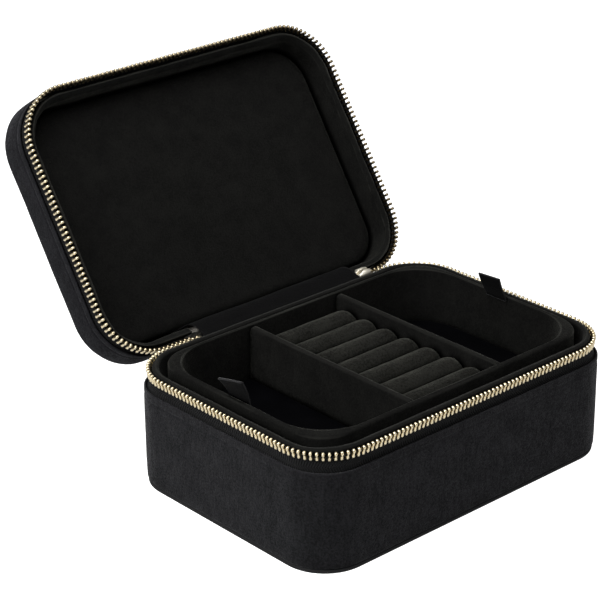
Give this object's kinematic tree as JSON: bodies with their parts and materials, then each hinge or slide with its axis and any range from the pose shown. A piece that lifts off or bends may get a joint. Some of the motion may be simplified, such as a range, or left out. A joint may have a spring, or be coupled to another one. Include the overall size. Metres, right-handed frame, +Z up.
{
  "type": "travel jewelry case",
  "caption": "Velvet-covered zip-around jewelry case with a hinged lid, a lower compartment and a lift-out tray of ring rolls between two open bays.",
  "frame": {"origin": "centre of the base's underside", "axes": "+X to the right along the case's width, +Y from the front to the hinge at the back, +Z up"},
  "size_m": [0.2, 0.2435, 0.1759],
  "materials": {
    "outer_velvet": "matte black velvet",
    "lining_velvet": "matte warm black velvet",
    "bottom_fabric": "smooth black fabric",
    "greyboard": "raw greyboard",
    "zip_tape": "black woven herringbone",
    "zip_metal": "polished champagne gold",
    "roll_velvet": "matte black velvet over foam",
    "tab_ribbon": "satin black ribbon"
  },
  "bodies": {
    "base": {"base_bottom_panel": "bottom_fabric", "base_shell": "greyboard", "base_cover": "outer_velvet", "base_lining_wall": "lining_velvet", "base_floor_pad": "lining_velvet", "tray_rest_frame": "lining_velvet", "base_zip_tape": "zip_tape", "base_zip_teeth": "zip_metal", "zip_bottom_stop": "zip_metal", "spine_lower": "outer_velvet", "hinge_lining_lower": "lining_velvet"},
    "lid": {"lid_cover": "outer_velvet", "lid_shell": "greyboard", "lid_lining_wall": "lining_velvet", "lid_lining_panel": "lining_velvet", "lid_zip_tape": "zip_tape", "lid_zip_teeth": "zip_metal", "spine_upper": "outer_velvet", "hinge_lining_upper": "lining_velvet"},
    "slider": {"zip_slider": "zip_metal"},
    "pull": {"zip_pull_link": "zip_metal", "zip_pull_tab": "zip_metal"},
    "tray": {"tray_shell": "lining_velvet", "tray_floor_left": "lining_velvet", "tray_floor_centre": "lining_velvet", "tray_floor_right": "lining_velvet", "divider_left": "lining_velvet", "divider_right": "lining_velvet", "ring_roll_1": "roll_velvet", "ring_roll_2": "roll_velvet", "ring_roll_3": "roll_velvet", "ring_roll_4": "roll_velvet", "ring_roll_5": "roll_velvet", "ring_roll_6": "roll_velvet", "ring_roll_7": "roll_velvet"},
    "left_tab": {"tray_tab_left": "tab_ribbon"},
    "right_tab": {"tray_tab_right": "tab_ribbon"}
  },
  "joints": [
    {"name": "lid_hinge", "type": "hinge", "parent": "base", "child": "lid", "pos_m": [0, 0.07144, 0.0589], "axis": [-1, 0, 0], "range_deg": [-124, 26]},
    {"name": "tray_lift", "type": "slide", "parent": "base", "child": "tray", "axis": [0, 0, 1], "range_m": [0, 0.045]},
    {"name": "zip_slider_travel", "type": "slide", "parent": "base", "child": "slider", "axis": [1, 0, 0], "range_m": [0, 0.006]},
    {"name": "zip_pull_swing", "type": "hinge", "parent": "slider", "child": "pull", "pos_m": [0.06, 0.07375, 0.06], "axis": [-1, 0, 0], "range_deg": [-18, 0]},
    {"name": "left_tab_fold", "type": "hinge", "parent": "tray", "child": "left_tab", "pos_m": [-0.0869, -0.0014, 0.0649], "axis": [0, -1, 0], "range_deg": [-95, 8]},
    {"name": "right_tab_fold", "type": "hinge", "parent": "tray", "child": "right_tab", "pos_m": [0.0869, -0.0001, 0.0649], "axis": [0, 1, 0], "range_deg": [-52, 38]}
  ]
}
